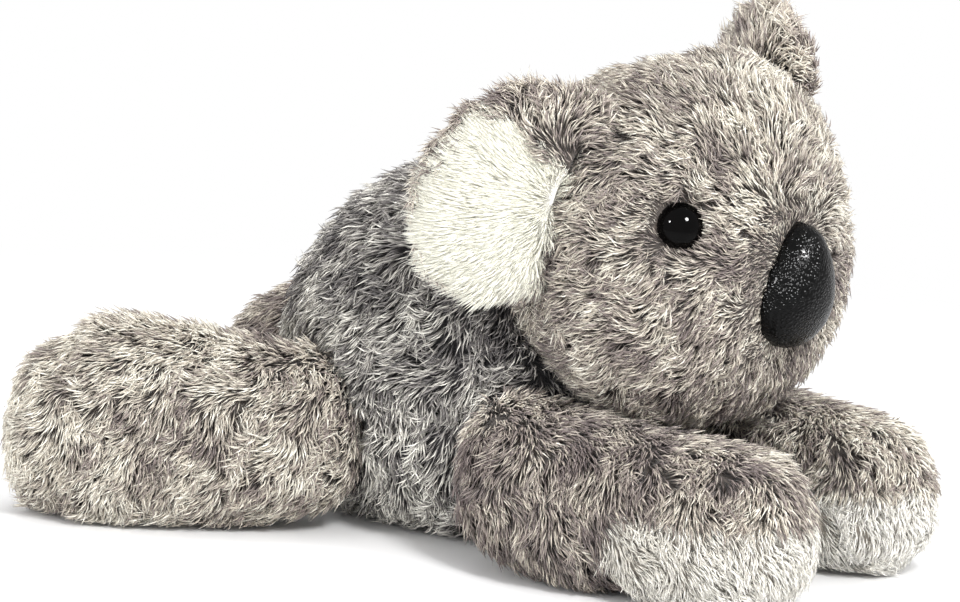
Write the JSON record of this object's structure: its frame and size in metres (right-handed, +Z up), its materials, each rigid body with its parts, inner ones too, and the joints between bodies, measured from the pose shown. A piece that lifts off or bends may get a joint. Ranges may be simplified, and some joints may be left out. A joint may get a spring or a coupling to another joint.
{
  "type": "plush koala",
  "caption": "Plush koala lying on its belly, with long shaggy fur, white-fronted ears, safety eyes, a moulded nose and limbs that swing at their seams.",
  "frame": {"origin": "on the floor, below the middle of the box round the whole toy", "axes": "+Z up, +X the animal's left side, -Y the way its body faces; it lies belly down along Y"},
  "size_m": [0.14, 0.2012, 0.1283],
  "materials": {
    "grey_fur": "grey-taupe shaggy long pile with cream tips",
    "back_fur": "darker blue-grey shaggy long pile",
    "white_fur": "white silky long pile",
    "palm_fur": "pale cream pile",
    "fibrefill": "loose white polyester fibre",
    "pellet_cloth": "plain woven cloth over pellets",
    "eye": "polished black",
    "nose": "black, finely grained, satin",
    "washer": "plain off-white"
  },
  "bodies": {
    "torso": {"torso_back_panel": "back_fur", "torso_belly_panel": "grey_fur", "torso_filling": "fibrefill", "torso_pellet_bag": "pellet_cloth"},
    "neck": {"neck_stuffing": "fibrefill"},
    "head": {"head_back_panel": "grey_fur", "face_left_panel": "grey_fur", "face_right_panel": "grey_fur", "head_filling": "fibrefill", "nose": "nose", "nose_washer": "washer", "eye_left": "eye", "eye_left_washer": "washer", "eye_right": "eye", "eye_right_washer": "washer"},
    "ear_left": {"ear_left_front_panel": "white_fur", "ear_left_back_panel": "grey_fur"},
    "ear_right": {"ear_right_front_panel": "white_fur", "ear_right_back_panel": "grey_fur"},
    "arm_left": {"arm_left_upper_panel": "grey_fur", "arm_left_under_panel": "grey_fur", "arm_left_palm_panel": "palm_fur", "arm_left_filling": "fibrefill", "arm_left_pellet_bag": "pellet_cloth"},
    "arm_right": {"arm_right_upper_panel": "grey_fur", "arm_right_under_panel": "grey_fur", "arm_right_palm_panel": "palm_fur", "arm_right_filling": "fibrefill", "arm_right_pellet_bag": "pellet_cloth"},
    "leg_left": {"leg_left_upper_panel": "grey_fur", "leg_left_under_panel": "grey_fur", "leg_left_sole_panel": "palm_fur", "leg_left_filling": "fibrefill", "leg_left_pellet_bag": "pellet_cloth"},
    "leg_right": {"leg_right_upper_panel": "grey_fur", "leg_right_under_panel": "grey_fur", "leg_right_sole_panel": "palm_fur", "leg_right_filling": "fibrefill", "leg_right_pellet_bag": "pellet_cloth"}
  },
  "joints": [
    {"name": "neck_turn", "type": "hinge", "parent": "torso", "child": "neck", "pos_m": [0.0156, -0.02836, 0.0495], "axis": [0, 0, 1], "range_deg": [-9, 27]},
    {"name": "head_nod", "type": "hinge", "parent": "neck", "child": "head", "pos_m": [0.0156, -0.02836, 0.0495], "axis": [-0.9877, 0.1564, 0], "range_deg": [0, 12]},
    {"name": "ear_left_fold", "type": "hinge", "parent": "head", "child": "ear_left", "pos_m": [0.04455, -0.05198, 0.10559], "axis": [-0.2524, -0.1822, 0.9503], "range_deg": [-20, 20], "stiffness_Nm_per_rad": 0.05},
    {"name": "ear_right_fold", "type": "hinge", "parent": "head", "child": "ear_right", "pos_m": [-0.02665, -0.03707, 0.09074], "axis": [-0.0719, 0.1934, -0.9785], "range_deg": [-20, 20], "stiffness_Nm_per_rad": 0.05},
    {"name": "arm_left_spread", "type": "hinge", "parent": "torso", "child": "arm_left", "pos_m": [0.0516, -0.02926, 0.023], "axis": [0, 0, 1], "range_deg": [0, 40]},
    {"name": "arm_right_spread", "type": "hinge", "parent": "torso", "child": "arm_right", "pos_m": [-0.0204, -0.02926, 0.023], "axis": [0, 0, -1], "range_deg": [0, 40]},
    {"name": "leg_left_spread", "type": "hinge", "parent": "torso", "child": "leg_left", "pos_m": [0.0526, 0.03274, 0.025], "axis": [0, 0, -1], "range_deg": [-2, 54]},
    {"name": "leg_right_spread", "type": "hinge", "parent": "torso", "child": "leg_right", "pos_m": [-0.0214, 0.03274, 0.025], "axis": [0, 0, 1], "range_deg": [-40, 16]}
  ]
}
